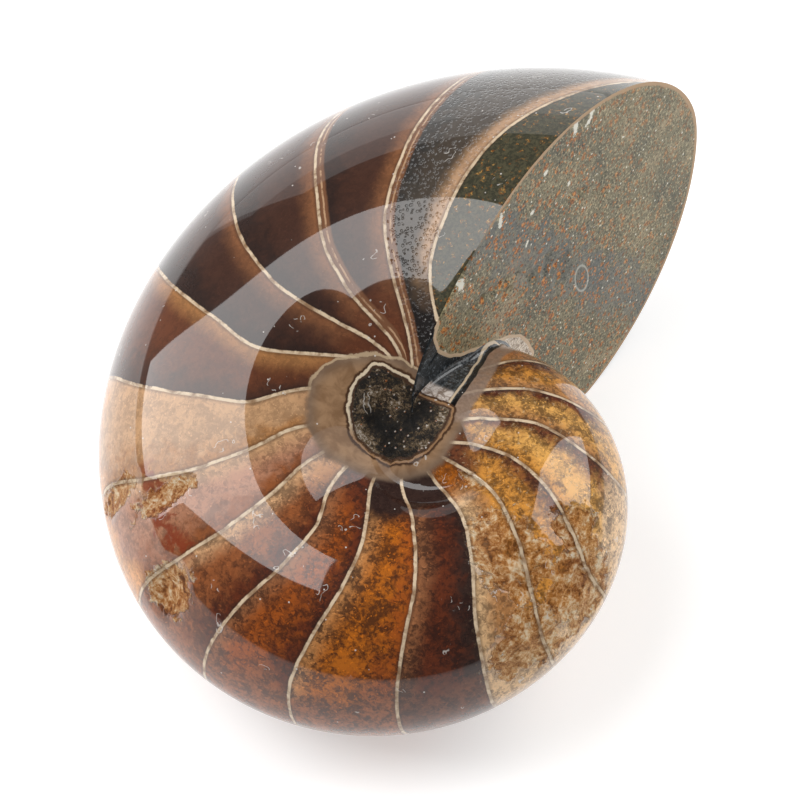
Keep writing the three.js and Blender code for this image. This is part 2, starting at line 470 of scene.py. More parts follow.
# %% Distances to the outlines
COMMA = [
    (-6.5, -3.0), (-7.5, -1.6), (-7.9, 0.0), (-7.7, 1.6), (-7.1, 2.6), (-5.8, 3.1), (-3.8, 3.6),
    (-2.2, 4.2), (-0.9, 4.8), (0.4, 5.3), (1.5, 4.0), (2.2, 2.2), (2.4, 0.0), (1.9, -1.8),
    (0.5, -3.3), (-1.7, -4.3), (-3.6, -4.6), (-5.1, -4.1),
]
RING = [
    (-9.9, -6.6), (-11.5, -4.4), (-11.7, -2.5), (-11.3, -0.4), (-10.2, 1.5), (-8.5, 3.6),
    (-6.1, 5.0), (-3.9, 5.6), (-1.6, 6.2), (0.3, 9.0), (2.0, 7.4), (3.4, 5.2), (4.4, 2.8),
    (5.1, 0.7), (4.9, -1.7), (3.1, -4.4), (1.0, -6.6), (-1.3, -8.0), (-3.5, -9.1),
    (-5.7, -9.1), (-7.8, -8.3),
]
CRACK = [(0.4, 5.2), (-0.3, 6.5), (-1.2, 8.4), (-2.2, 10.1), (-3.5, 11.9), (-4.6, 13.5), (-5.2, 15.0)]
LAST_SEPTUM_ON_FACE = [
    (11.6, 24.0), (10.8, 18.2), (9.5, 16.9), (9.4, 13.7), (10.4, 11.2), (11.6, 9.6), (13.0, 8.3),
    (14.4, 6.9), (15.7, 5.8), (17.2, 4.1), (18.6, 2.5), (19.9, 0.5), (20.6, -2.0), (20.8, -5.0),
    (18.6, -9.5), (14.0, -13.0), (11.5, -18.0), (11.6, -24.0),
]


def outline_distance(points, outline, closed):
    """Distance to an outline: less than 0 inside a closed one, or on the right of an open one."""
    corners = np.array(outline)
    starts = corners if closed else corners[:-1]
    ends = np.roll(corners, -1, axis=0) if closed else corners[1:]
    nearest = np.full(len(points), np.inf)
    signed = np.zeros(len(points))
    inside = np.zeros(len(points), bool)
    for start, end in zip(starts, ends):
        edge = end - start
        away = points - start
        part = np.clip(away @ edge / (edge @ edge), 0, 1)
        gap = np.linalg.norm(away - part[:, None] * edge, axis=1)
        turn = edge[0] * away[:, 1] - edge[1] * away[:, 0]
        closer = gap < nearest
        nearest = np.where(closer, gap, nearest)
        signed = np.where(closer, np.sign(turn) * gap, signed)
        above = (start[1] > points[:, 1]) != (end[1] > points[:, 1])
        inside ^= above & (turn * np.sign(end[1] - start[1]) > 0)
    return np.where(inside, -nearest, nearest) if closed else signed


places = shell_places(shell.data)
in_plane = places[:, :2]
out = np.hypot(places[:, 0], places[:, 1])
set_attribute(shell.data, "comma_mm", outline_distance(in_plane, COMMA, True))
set_attribute(shell.data, "ring_mm", outline_distance(in_plane, RING, True))
set_attribute(shell.data, "crack_mm", outline_distance(in_plane, CRACK, False))
face_places = np.stack([out, places[:, 2]], axis=1)
set_attribute(shell.data, "infill_mm", outline_distance(face_places, LAST_SEPTUM_ON_FACE, False))
sawn_edge = place_grid[COLUMNS, ROWS - WALL_ROWS:ROWS + WALL_ROWS + 1:2]
sawn_edge = np.stack([np.hypot(sawn_edge[:, 0], sawn_edge[:, 1]), sawn_edge[:, 2]], axis=1)
rim = np.full(len(places), 30.0)
on_face = np.zeros(len(places), bool)
for polygon in shell.data.polygons:
    if polygon.material_index == SAWN_SLOT:
        on_face[list(polygon.vertices)] = True
rim[on_face] = np.abs(outline_distance(face_places[on_face], sawn_edge, False))
set_attribute(shell.data, "rim_mm", rim)
set_attribute(shell.data, "out_mm", out)
set_attribute(shell.data, "high_mm", places[:, 2])
flank_side = np.where(places[:, 2] < 0, -1.0, 1.0)
print("vertices on the sawn face:", int(on_face.sum()))

# %% [markdown]
# ## Patches that were never polished
#
# Where shell broke away before the polishing, rough crystals lie a little below the surface.
# Each patch is an ellipse of growth and around. A vertex group says how far a Displace modifier
# with a cloud texture pulls each vertex in, so the grain is real relief that also shows at the
# outline. Bump alone would stay flush there, and sculpting by hand couldn't be repeated.

# %% Patches that were never polished, in degrees of growth and around
ROUGH_PATCHES = [
    (-153, 31, 6, 13),
    (-267, 100, 4, 8),
    (-252, 60, 13, 24),
    (-243, 22, 12, 16),
    (-262, 22, 12, 22),
    (-274, 40, 8, 14),
    (-130, 30, 3, 14),
    (-137, 50, 3, 15),
]
growth_now = read_attribute(shell.data, "growth")
around_now = np.abs(read_attribute(shell.data, "around"))
rough = np.zeros(len(growth_now))
for patch_growth, patch_around, patch_long, patch_wide in ROUGH_PATCHES:
    far = np.hypot((growth_now - patch_growth) / patch_long, (around_now - patch_around) / patch_wide)
    rough = np.maximum(rough, 1.5 - far)
set_attribute(shell.data, "rough", np.clip(rough, 0, 1) * (flank_side > 0))
print("rough share:", round(float((rough > 0.5).mean()), 3))

# %% Sink and roughen the patches
GRIT_SIZE = 1.3
SINK_DEPTH = 0.9
patches = shell.vertex_groups.new(name="rough_patches")
for index in np.flatnonzero((rough > 0.4) & (flank_side > 0)):
    patches.add([int(index)], float(np.clip(rough[index] * 2 - 0.8, 0, 1)), "REPLACE")
grit = bpy.data.textures.new("grit", "CLOUDS")
grit.noise_scale = GRIT_SIZE * MM
grit.noise_depth = 3
sinking = shell.modifiers.new("rough_patches", "DISPLACE")
sinking.texture = grit
sinking.texture_coords = "LOCAL"
sinking.vertex_group = patches.name
sinking.mid_level = 0.85
sinking.strength = SINK_DEPTH * MM
polished = coordinates(shell.data)
bpy.ops.object.modifier_apply(modifier=sinking.name)
moved = np.linalg.norm(coordinates(shell.data) - polished, axis=1) / MM
print("the patches' relief reaches", round(float(moved.max()), 2), "mm")

# %% [markdown]
# ## A bench for materials
#
# Each finish is a tree of many small nodes. These helpers add one node at a time and link
# whatever is given as a socket, so that a recipe reads like a list of steps. The Mix node keeps
# sockets for every kind of value under the same names, so its colours are reached by number:
# 0 is the factor, 6 and 7 are the two colours, and output 2 is the mixed one.


# %% Node helpers
def tint(code):
    """A colour from its six hex digits, made linear as Blender wants it."""
    shares = [int(code[i:i + 2], 16) / 255 for i in (0, 2, 4)]
    linear = [part / 12.92 if part <= 0.04045 else ((part + 0.055) / 1.055) ** 2.4 for part in shares]
    return (*linear, 1.0)


class Recipe:
    """A material's node tree, built up step by step. Its places are in millimetres."""

    def __init__(self, name):
        self.material = bpy.data.materials.new(name)
        self.material.use_nodes = True
        self.tree = self.material.node_tree
        self.shader = self.tree.nodes["Principled BSDF"]
        coordinates_node = self.tree.nodes.new("ShaderNodeTexCoord")
        self.place = self.scaled(coordinates_node.outputs["Object"], 1 / MM)

    def put(self, socket, value):
        if isinstance(value, bpy.types.NodeSocket):
            self.tree.links.new(value, socket)
        else:
            socket.default_value = value

    def scaled(self, vector, factor):
        node = self.tree.nodes.new("ShaderNodeVectorMath")
        node.operation = "SCALE"
        self.put(node.inputs[0], vector)
        self.put(node.inputs["Scale"], factor)
        return node.outputs[0]

    def attribute(self, name):
        node = self.tree.nodes.new("ShaderNodeAttribute")
        node.attribute_name = name
        return node.outputs["Fac"]

    def math(self, operation, a, b=0.0):
        node = self.tree.nodes.new("ShaderNodeMath")
        node.operation = operation
        self.put(node.inputs[0], a)
        self.put(node.inputs[1], b)
        return node.outputs[0]

    def add(self, a, b):
        return self.math("ADD", a, b)

    def less(self, a, b):
        return self.math("SUBTRACT", a, b)

    def times(self, a, b):
        return self.math("MULTIPLY", a, b)

    def either(self, a, b):
        return self.math("MAXIMUM", a, b)

    def fade(self, value, start, end):
        """0 at start and 1 at end, smoothly, in either direction."""
        node = self.tree.nodes.new("ShaderNodeMapRange")
        node.interpolation_type = "SMOOTHSTEP"
        self.put(node.inputs["Value"], value)
        self.put(node.inputs["From Min"], start)
        self.put(node.inputs["From Max"], end)
        return node.outputs[0]

    def mix(self, factor, a, b):
        """Colour a where the factor is 0 and colour b where it is 1."""
        node = self.tree.nodes.new("ShaderNodeMix")
        node.data_type = "RGBA"
        self.put(node.inputs[0], factor)
        self.put(node.inputs[6], a)
        self.put(node.inputs[7], b)
        return node.outputs[2]

    def noise(self, scale, detail=2.0, roughness=0.5, distortion=0.0, place=None):
        """Cloudy noise with this many features per millimetre."""
        node = self.tree.nodes.new("ShaderNodeTexNoise")
        self.put(node.inputs["Vector"], place or self.place)
        self.put(node.inputs["Scale"], scale)
        self.put(node.inputs["Detail"], detail)
        self.put(node.inputs["Roughness"], roughness)
        self.put(node.inputs["Distortion"], distortion)
        return node.outputs["Fac"]

    def warped(self, scale, amount):
        """Places pushed about by noise, up to half this many millimetres."""
        noise = self.tree.nodes.new("ShaderNodeTexNoise")
        self.put(noise.inputs["Vector"], self.place)
        self.put(noise.inputs["Scale"], scale)
        node = self.tree.nodes.new("ShaderNodeVectorMath")
        self.put(node.inputs[0], self.place)
        self.put(node.inputs[1], self.scaled(noise.outputs["Color"], amount))
        return node.outputs[0]

    def cells(self, scale, output="Distance", place=None):
        """Scattered cells: the distance to a cell's middle, or a colour for each cell."""
        node = self.tree.nodes.new("ShaderNodeTexVoronoi")
        self.put(node.inputs["Vector"], place or self.place)
        self.put(node.inputs["Scale"], scale)
        return node.outputs[output]

    def ramp(self, factor, stops, interpolation="LINEAR"):
        """Stops are (position, colour) in order."""
        node = self.tree.nodes.new("ShaderNodeValToRGB")
        ramp = node.color_ramp
        ramp.interpolation = interpolation
        while len(ramp.elements) < len(stops):
            ramp.elements.new(0.5)
        for element, (position, colour) in zip(ramp.elements, stops):
            element.position = position
        for element, (position, colour) in zip(ramp.elements, stops):
            element.color = colour
        self.put(node.inputs["Fac"], factor)
        return node.outputs["Color"]

    def bump(self, height, distance_mm, strength=1.0, before=None):
        node = self.tree.nodes.new("ShaderNodeBump")
        self.put(node.inputs["Height"], height)
        self.put(node.inputs["Distance"], distance_mm * MM)
        self.put(node.inputs["Strength"], strength)
        if before:
            self.put(node.inputs["Normal"], before)
        return node.outputs["Normal"]

    def tell(self, step):
        print(step, "done,", self.material.name, "has", len(self.tree.nodes), "nodes")


# %% [markdown]
# ## The stone in the chambers
#
# In every chamber the stone is palest beside the younger septum and darkens towards the older
# one, which is how the calcite grew inwards. So each chamber is given five named tints: beside
# the younger septum, in the middle, beside the older septum, on the rounded back and at the
# hub. A sixth value says how strongly the crystals' painted glow and shade mottle it. Colour
# ramps that change in steps look these up by chamber number, and noise bends every border
# between two tints. A painted image could hold the same tints, but it would blur from close by.

# %% Named tints of the stone
TINTS = {
    "ink": "14100e",
    "slate": "34322f",
    "peat": "4a4036",
    "smoke": "514d38",
    "cocoa": "2e1b14",
    "umber": "47291c",
    "chestnut": "6b3a20",
    "mahogany": "5b260c",
    "rust": "8e5028",
    "brick": "93480e",
    "amber": "a95c0d",
    "honey": "c98838",
    "gold": "dba355",
    "caramel": "8c5a38",
    "toffee": "b07a48",
    "tan": "cc9f74",
    "sand": "dcb485",
    "rose": "b27c5e",
    "peach": "dc9753",
}
CHAMBERS = [
    # beside the younger septum, middle, beside the older septum, rounded back, hub, painted glow and shade
    ("smoke", "smoke", "smoke", "smoke", "smoke", 0.2),
    ("tan", "peat", "slate", "peat", "ink", 0.2),
    ("caramel", "umber", "cocoa", "umber", "chestnut", 0.25),
    ("caramel", "umber", "cocoa", "umber", "chestnut", 0.25),
    ("caramel", "umber", "cocoa", "umber", "chestnut", 0.25),
    ("toffee", "chestnut", "umber", "chestnut", "chestnut", 0.25),
    ("tan", "tan", "toffee", "peach", "mahogany", 0.3),
    ("tan", "rose", "rust", "peach", "rust", 0.4),
    ("tan", "rust", "mahogany", "rust", "toffee", 0.6),
    ("caramel", "brick", "mahogany", "rust", "mahogany", 0.75),
    ("toffee", "amber", "brick", "rust", "cocoa", 0.85),
    ("caramel", "mahogany", "cocoa", "chestnut", "cocoa", 0.8),
    ("sand", "toffee", "honey", "sand", "amber", 0.6),
    ("honey", "honey", "chestnut", "sand", "chestnut", 0.75),
    ("honey", "gold", "chestnut", "sand", "chestnut", 0.75),
    ("toffee", "gold", "mahogany", "gold", "chestnut", 0.75),
    ("toffee", "honey", "mahogany", "gold", "mahogany", 0.75),
    ("toffee", "amber", "cocoa", "honey", "mahogany", 0.7),
]
FIRST_CHAMBER = -1
print(len(CHAMBERS), "chambers from", len(TINTS), "tints")

# %% Flank stone
flank = Recipe("polished_stone")
chamber = flank.attribute("chamber")
chamber_mm = flank.attribute("chamber_mm")
around = flank.math("ABSOLUTE", flank.attribute("around"))
growth = flank.attribute("growth")
clouds = flank.noise(0.14, 3, 0.55)
blotches = flank.noise(0.6, 4, 0.6, 0.4)
number = flank.math("FLOOR", chamber)
share_back = flank.less(chamber, number)
bent_share = flank.add(share_back, flank.times(flank.less(blotches, 0.5), 0.9))
slot_step = 1 / (len(CHAMBERS) + 1)
slot_place = flank.times(flank.add(number, 0.5 - FIRST_CHAMBER), slot_step)
grains = flank.noise(2.6, 3, 0.65)


def by_chamber(recipe, which):
    """A colour ramp that changes in steps, one for each chamber."""
    stops = []
    for index, row in enumerate(CHAMBERS):
        value = row[which]
        colour = tint(TINTS[value]) if isinstance(value, str) else (value, value, value, 1)
        stops.append((index * slot_step, colour))
    return recipe.ramp(slot_place, stops, "CONSTANT")


from_younger = flank.times(share_back, chamber_mm)
from_younger = flank.add(from_younger, flank.times(flank.less(blotches, 0.5), 1.4))
stone = flank.mix(flank.fade(from_younger, 2.8, 0.1), by_chamber(flank, 1), by_chamber(flank, 0))
tan_band = flank.times(flank.fade(from_younger, 1.5, 1.1), flank.fade(number, 0.6, 0.4))
stone = flank.mix(flank.times(tan_band, 0.6), stone, tint("c29c7c"))
stone = flank.mix(flank.fade(bent_share, 0.5, 0.95), stone, by_chamber(flank, 2))
bent_around = flank.add(around, flank.times(flank.less(clouds, 0.5), 40.0))
stone = flank.mix(flank.fade(bent_around, 30.0, 16.0), stone, by_chamber(flank, 3))
stone = flank.mix(flank.fade(bent_around, 98.0, 112.0), stone, by_chamber(flank, 4))
flank.tell("tints of the chambers")

# %% [markdown]
# ## Crystals and specks in the stone
#
# The calcite in the amber chambers is a mass of small crystals. Light glowing through them is
# painted in: lit and dim copies of the stone's colour, and brighter glints, laid out in the
# crystals' patchy pattern. Plain cells look like tiles and plain noise looks like smoke. So noise
# of three sizes is added to cells whose places are first pushed about by noise. Gold specks, a
# rusty crack and the rough crystals of the unpolished patches are laid over it.

# %% Crystals, with painted glow, shade and glints
bent_place = flank.warped(1.2, 1.6)
facets = flank.cells(1.1, output="Color", place=bent_place)
small_facets = flank.cells(2.4, output="Color", place=bent_place)
crystals = flank.times(flank.noise(0.3, 3, 0.6, 0.5), 0.27)
crystals = flank.add(crystals, flank.times(flank.noise(1.2, 5, 0.75, 0.8), 0.33))
crystals = flank.add(crystals, flank.times(flank.noise(3.4, 4, 0.75), 0.2))
crystals = flank.add(crystals, flank.add(flank.times(facets, 0.1), flank.times(small_facets, 0.1)))
# Painted glow and shade: a copy of the stone's colour 1.5 times brighter and a dim reddish copy stand in for
# light through the translucent calcite.
lit = flank.fade(crystals, 0.42, 0.58)
darker = flank.mix(0.65, flank.scaled(stone, 0.35), tint("2e1006"))
crystal_glow_and_shade = flank.mix(lit, darker, flank.scaled(stone, 1.5))
# Painted glints: specks of a copy of the stone's colour 2.3 times brighter.
painted_glints = flank.fade(flank.cells(2.2, place=bent_place), 0.36, 0.16)
painted_glints = flank.times(painted_glints, flank.fade(flank.cells(2.2, output="Color", place=bent_place), 0.58, 0.64))
crystal_glow_and_shade = flank.mix(flank.times(painted_glints, 0.7), crystal_glow_and_shade, flank.scaled(stone, 2.3))
stone = flank.mix(by_chamber(flank, 5), stone, crystal_glow_and_shade)
flecks = flank.fade(flank.noise(1.7, 6, 0.8, 0.6), 0.56, 0.66)
flecks = flank.times(flecks, flank.fade(chamber, 10.8, 11.2))
stone = flank.mix(flank.times(flecks, 0.6), stone, tint("d9bd92"))
flank.tell("crystals")

# %% Gold specks beside the sawn edge, a rusty crack and rough crystals
sliver = flank.fade(chamber, 0.02, -0.02)
fine = flank.noise(4.5, 3, 0.7)
gold_place = flank.warped(2.6, 1.3)
gold = flank.fade(flank.add(flank.cells(1.35, place=gold_place), flank.times(fine, 0.7)), 0.72, 0.5)
gold = flank.times(gold, flank.fade(blotches, 0.4, 0.52))
gold = flank.times(flank.times(gold, sliver), flank.fade(around, 22.0, 58.0))
sliver_grit = flank.times(sliver, flank.fade(grains, 0.56, 0.44))
stone = flank.mix(flank.times(sliver_grit, 0.6), stone, tint("24271c"))
gold_tint = flank.mix(flank.fade(fine, 0.42, 0.6), tint("7a4212"), tint("d8a858"))
stone = flank.mix(flank.times(gold, 0.9), stone, gold_tint)
crack_bend = flank.add(around, flank.times(flank.less(blotches, 0.5), 26.0))
rusty_crack = flank.fade(flank.math("ABSOLUTE", flank.less(crack_bend, 48.0)), 5.0, 1.5)
rusty_crack = flank.times(rusty_crack, flank.fade(growth, -126.0, -131.0))
rusty_crack = flank.times(rusty_crack, flank.fade(growth, -156.0, -150.0))
stone = flank.mix(flank.times(rusty_crack, 0.8), stone, tint("8a300a"))
rough = flank.add(flank.attribute("rough"), flank.times(flank.less(blotches, 0.5), 2.0))
rough = flank.fade(rough, 0.48, 0.66)
coarse_crumbs = flank.times(flank.noise(0.5, 3, 0.6, 0.8), 0.45)
fine_crumbs = flank.times(flank.noise(2.0, 6, 0.8, 0.5), 0.55)
crumbs = flank.add(coarse_crumbs, fine_crumbs)
crystal_stone = flank.ramp(
    crumbs,
    [(0.4, tint("54280c")), (0.46, tint("a8642a")), (0.52, tint("dea86c")), (0.59, tint("ffecca"))],
)
stone = flank.mix(flank.times(rough, 0.75), stone, crystal_stone)
flank.tell("specks, crack and rough crystals")

# %% [markdown]
# ## Septum lines, ring and comma
#
# A septum is about a third of a millimetre thick, cream, and edged in brown. The chamber number
# times the chamber's width is the distance to the nearest one in millimetres, so a line of even
# thickness is only a fade of that distance. The ring and the comma at the hub are drawn the same
# way from their outlines. A little noise is added to each distance, because a drawn line that
# never wavers looks printed.

# %% Septum lines
line_number = flank.math("ROUND", chamber)
from_line = flank.times(flank.less(chamber, line_number), chamber_mm)
from_line = flank.add(from_line, flank.times(flank.less(blotches, 0.5), 0.3))
line_gap = flank.math("ABSOLUTE", from_line)
SEPTUM_HALF = 0.17
BORDER_HALF = 0.6
stone = flank.mix(flank.times(flank.fade(line_gap, BORDER_HALF, SEPTUM_HALF), 0.5), stone, tint("2c1a12"))
line_tint = flank.mix(flank.fade(blotches, 0.34, 0.6), tint("9a7858"), tint("ecd3b2"))
stone = flank.mix(flank.fade(line_gap, SEPTUM_HALF + 0.06, SEPTUM_HALF - 0.05), stone, line_tint)
doubled = flank.times(flank.fade(line_number, 0.4, 0.6), flank.fade(line_number, 2.6, 2.4))
second_gap = flank.math("ABSOLUTE", flank.add(from_line, 0.62))
second = flank.times(flank.fade(second_gap, 0.14, 0.06), doubled)
stone = flank.mix(flank.times(flank.fade(second_gap, 0.6, 0.3), doubled), stone, tint("7d5236"))
stone = flank.mix(flank.times(second, flank.fade(blotches, 0.38, 0.56)), stone, tint("c49c78"))
flank.tell("septum lines")

# %% Ring at the hub
ring_mm = flank.attribute("ring_mm")
comma_mm = flank.attribute("comma_mm")
ring_edge = flank.add(ring_mm, flank.add(flank.times(flank.less(blotches, 0.5), 1.0), 0.7))
ring_stone = flank.mix(flank.fade(blotches, 0.35, 0.65), tint("8c6a4c"), tint("ac8866"))
ring_stone = flank.mix(flank.times(flank.fade(ring_edge, -1.6, 0.2), 0.55), ring_stone, tint("6c645e"))
in_ring = flank.fade(ring_edge, 0.4, -0.4)
stone = flank.mix(in_ring, stone, ring_stone)
ring_line = flank.fade(flank.math("ABSOLUTE", ring_edge), 0.2, 0.08)
ring_line = flank.times(ring_line, flank.fade(growth, -106.0, -92.0))
stone = flank.mix(flank.times(ring_line, 0.7), stone, tint("d9bf9b"))
flank.tell("ring")

# %% [markdown]
# ## The corner beside the hub
#
# Between the hub and the sawn face the older whorl shows a thin dark crack, a cream line along
# it, black filling and a little pale quartz. Each is a band of the distance to the crack. They
# are kept to the older whorl by its growth, because the distance alone would also mark the
# whorl on the other side.

# %% Crack, dark filling and quartz on the older whorl
crack_mm = flank.add(flank.attribute("crack_mm"), flank.times(flank.less(blotches, 0.5), 0.3))
older_whorl = flank.fade(growth, -318.0, -326.0)
beside_crack = flank.times(flank.fade(crack_mm, -2.0, -1.6), flank.fade(crack_mm, 0.1, 0.0))
taupe = flank.times(older_whorl, beside_crack)
stone = flank.mix(flank.times(taupe, 0.85), stone, flank.mix(grains, tint("6e5546"), tint("b59c88")))
infill = flank.times(older_whorl, flank.fade(crack_mm, 0.0, 0.15))
infill = flank.times(infill, flank.fade(crack_mm, 7.0, 6.0))
infill_stone = flank.ramp(
    flank.noise(2.2, 5, 0.8),
    [(0.38, tint("0e0f0f")), (0.52, tint("2c3033")), (0.62, tint("6d7274")), (0.72, tint("c9c9c4"))],
)
stone = flank.mix(infill, stone, infill_stone)
quartz = flank.times(infill, flank.times(flank.fade(comma_mm, 2.3, 1.7), flank.fade(crack_mm, 0.5, 0.8)))
quartz_stone = flank.mix(flank.fade(flank.noise(1.1, 5, 0.7, 1.5), 0.4, 0.6), tint("8d7a6c"), tint("e6dad0"))
stone = flank.mix(quartz, stone, quartz_stone)
crack_gap = flank.math("ABSOLUTE", crack_mm)
stone = flank.mix(flank.times(flank.fade(crack_gap, 0.26, 0.16), older_whorl), stone, tint("0c0a09"))
cream_gap = flank.math("ABSOLUTE", flank.less(crack_mm, 0.5))
stone = flank.mix(flank.times(flank.fade(cream_gap, 0.17, 0.09), older_whorl), stone, tint("d8c2a4"))
flank.tell("crack and quartz")

# %% The comma's dark stone and its rim
comma_stone = flank.ramp(
    flank.add(flank.times(flank.noise(0.35, 2), 0.45), flank.times(flank.noise(2.4, 5, 0.8, 0.6), 0.55)),
    [(0.4, tint("0b0908")), (0.5, tint("2b241c")), (0.57, tint("7a6449")), (0.64, tint("d8cfc2"))],
)
comma_specks = flank.fade(flank.cells(1.7), 0.26, 0.12)
speck_choice = flank.fade(flank.cells(1.7, output="Color"), 0.5, 0.54)
comma_specks = flank.times(comma_specks, speck_choice)
speck_tint = flank.mix(flank.fade(fine, 0.48, 0.54), tint("b5682a"), tint("dcd8d0"))
comma_stone = flank.mix(flank.times(comma_specks, 0.85), comma_stone, speck_tint)
comma_edge = flank.add(comma_mm, flank.times(flank.less(blotches, 0.5), 0.9))
stone = flank.mix(flank.fade(comma_edge, 0.0, -0.1), stone, comma_stone)
comma_rim = flank.math("ABSOLUTE", flank.add(comma_edge, -0.05))
stone = flank.mix(flank.fade(comma_rim, 0.5, 0.3), stone, tint("4e3524"))
rim_tint = flank.mix(flank.fade(growth, -125.0, -105.0), tint("a17b58"), tint("ecd8ba"))
stone = flank.mix(flank.fade(comma_rim, 0.2, 0.1), stone, rim_tint)
flank.tell("comma")

# %% [markdown]
# ## Dust and polish
#
# The specimen is dusty, with pale specks and short curled fibres. Specks are the middles of some
# cells, and fibres are thin rings round others, broken up by noise. Loose hairs as mesh would be
# finer, but there are hundreds of them. The polish is a clear coat over satin stone. It thins
# where the stone is rough, in the comma and on the ring.

# %% Dust and fibres
speck_size = flank.cells(0.62)
speck_kind = flank.cells(0.62, output="Color")
specks = flank.times(flank.fade(speck_size, 0.075, 0.045), flank.fade(speck_kind, 0.46, 0.48))
fibre_place = flank.warped(0.5, 5.0)
fibre_size = flank.cells(0.23, place=fibre_place)
fibre_kind = flank.cells(0.23, output="Color", place=fibre_place)
fibres = flank.fade(flank.math("ABSOLUTE", flank.less(fibre_size, 0.16)), 0.02, 0.008)
fibres = flank.times(fibres, flank.fade(fibre_kind, 0.55, 0.57))
fibres = flank.times(fibres, flank.fade(flank.noise(0.8, 1), 0.52, 0.56))
dust = flank.either(specks, flank.times(fibres, 0.7))
stone = flank.mix(flank.times(dust, 0.85), stone, tint("e9e2da"))
flank.tell("dust")

# %% Connect the flank's finish
# The coat reflects on top of the stone's own colour, so that colour is made deeper.
DEEPER = 0.72
flank.put(flank.shader.inputs["Base Color"], flank.scaled(stone, DEEPER))
flank.put(flank.shader.inputs["Roughness"], 0.4)
in_comma = flank.fade(comma_edge, 0.0, -0.1)
dull = flank.either(flank.times(rough, 0.9), flank.times(in_comma, 0.75))
dull = flank.either(dull, flank.times(in_ring, 0.8))
flank.put(flank.shader.inputs["Coat Weight"], flank.less(1.0, dull))
pitted = flank.times(flank.fade(chamber, 0.0, 0.06), flank.fade(chamber, 1.0, 0.9))
pits = flank.fade(flank.add(flank.cells(2.3), flank.times(fine, 0.35)), 0.62, 0.4)
pitted = flank.times(flank.times(pitted, flank.fade(around, 26.0, 60.0)), flank.times(pits, -0.22))
relief = flank.add(flank.times(crumbs, flank.either(rough, in_comma)), pitted)
uneven = flank.bump(relief, 0.5, 0.8)
flank.put(flank.shader.inputs["Normal"], uneven)
flank.put(flank.shader.inputs["Coat Normal"], uneven)
flank.put(flank.shader.inputs["Coat Roughness"], 0.03)
flank.put(flank.shader.inputs["Specular IOR Level"], 0.05)
flank.tell("polish")

# %% [markdown]
# ## The sawn face
#
# The mud that filled the last whorl set to a grey-green stone full of rusty grains. The saw
# left it satin instead of glossy. Inside it show an oval ring, some chips of white calcite and
# a bluish cloud, and near the hub the last septum with the dark filling behind it.

# %% Grains and clouds of the sawn stone
sawn = Recipe("sawn_stone")
face_out = sawn.attribute("out_mm")
face_high = sawn.attribute("high_mm")
wide_clouds = sawn.noise(0.09, 3, 0.55)
small_clouds = sawn.noise(0.45, 4, 0.6)
fine_grains = sawn.noise(3.0, 3, 0.7)
mud = sawn.ramp(
    sawn.add(sawn.times(wide_clouds, 0.7), sawn.times(small_clouds, 0.3)),
    [(0.36, tint("555342")), (0.5, tint("766e53")), (0.64, tint("9a8869"))],
)
mud = sawn.mix(sawn.fade(fine_grains, 0.52, 0.68), mud, tint("b5a988"))
grit_depth = sawn.add(sawn.times(sawn.fade(face_out, 50.0, 32.0), 0.5), 0.45)
mud = sawn.mix(sawn.times(sawn.fade(fine_grains, 0.47, 0.34), grit_depth), mud, tint("2f2d22"))
band = sawn.less(sawn.add(face_out, sawn.times(face_high, 0.45)), 30.0)
band = sawn.add(band, sawn.times(sawn.less(small_clouds, 0.5), 16.0))
mud = sawn.mix(sawn.times(sawn.fade(sawn.math("ABSOLUTE", band), 6.0, 1.0), 0.55), mud, tint("5a6164"))
rust_tint = sawn.mix(sawn.fade(fine_grains, 0.4, 0.6), tint("7a3e12"), tint("c88238"))
towards_hub = sawn.fade(face_out, 50.0, 28.0)
for grain_scale, shift, share, strength in ((0.85, 1.0, 0.42, 0.9), (1.4, 1.17, 0.36, 1.0)):
    grain_place = sawn.scaled(sawn.warped(1.6, 1.0), shift)
    rust_size = sawn.add(sawn.cells(grain_scale, place=grain_place), sawn.times(fine_grains, 0.25))
    rust_kind = sawn.cells(grain_scale, output="Color", place=grain_place)
    rusty = sawn.times(sawn.fade(rust_size, 0.5, 0.36), sawn.fade(rust_kind, share, share + 0.05))
    rusty = sawn.times(rusty, sawn.add(sawn.times(towards_hub, 0.5), 0.5))
    mud = sawn.mix(sawn.times(rusty, strength), mud, rust_tint)
dark_size = sawn.cells(2.7, place=sawn.scaled(sawn.place, 1.07))
dark_kind = sawn.cells(2.7, output="Color", place=sawn.scaled(sawn.place, 1.07))
dark = sawn.times(sawn.fade(dark_size, 0.42, 0.26), sawn.fade(dark_kind, 0.5, 0.54))
mud = sawn.mix(sawn.times(dark, 0.7), mud, tint("26241b"))
white_size = sawn.cells(0.9, place=sawn.scaled(sawn.place, 1.31))
white_kind = sawn.cells(0.9, output="Color", place=sawn.scaled(sawn.place, 1.31))
white = sawn.times(sawn.fade(white_size, 0.2, 0.1), sawn.fade(white_kind, 0.62, 0.64))
mud = sawn.mix(white, mud, tint("d9d6c8"))
sawn.tell("grains and clouds")


# %% An oval ring and chips of calcite
def on_face_spot(recipe, out_mm, high_mm, long, wide, turn=0.0):
    """Distance from a spot on the sawn face, 1 on its oval outline."""
    across = recipe.less(face_out, out_mm)
    up = recipe.less(face_high, high_mm)
    cosine, sine = math.cos(math.radians(turn)), math.sin(math.radians(turn))
    first = recipe.times(recipe.add(recipe.times(across, cosine), recipe.times(up, sine)), 1 / long)
    second = recipe.times(recipe.less(recipe.times(up, cosine), recipe.times(across, sine)), 1 / wide)
    return recipe.math("SQRT", recipe.add(recipe.times(first, first), recipe.times(second, second)))


oval = on_face_spot(sawn, 30.8, -3.0, 1.1, 2.4)
oval_line = sawn.fade(sawn.math("ABSOLUTE", sawn.less(oval, 1.0)), 0.13, 0.05)
mud = sawn.mix(sawn.times(oval_line, 0.55), mud, tint("b9bab0"))
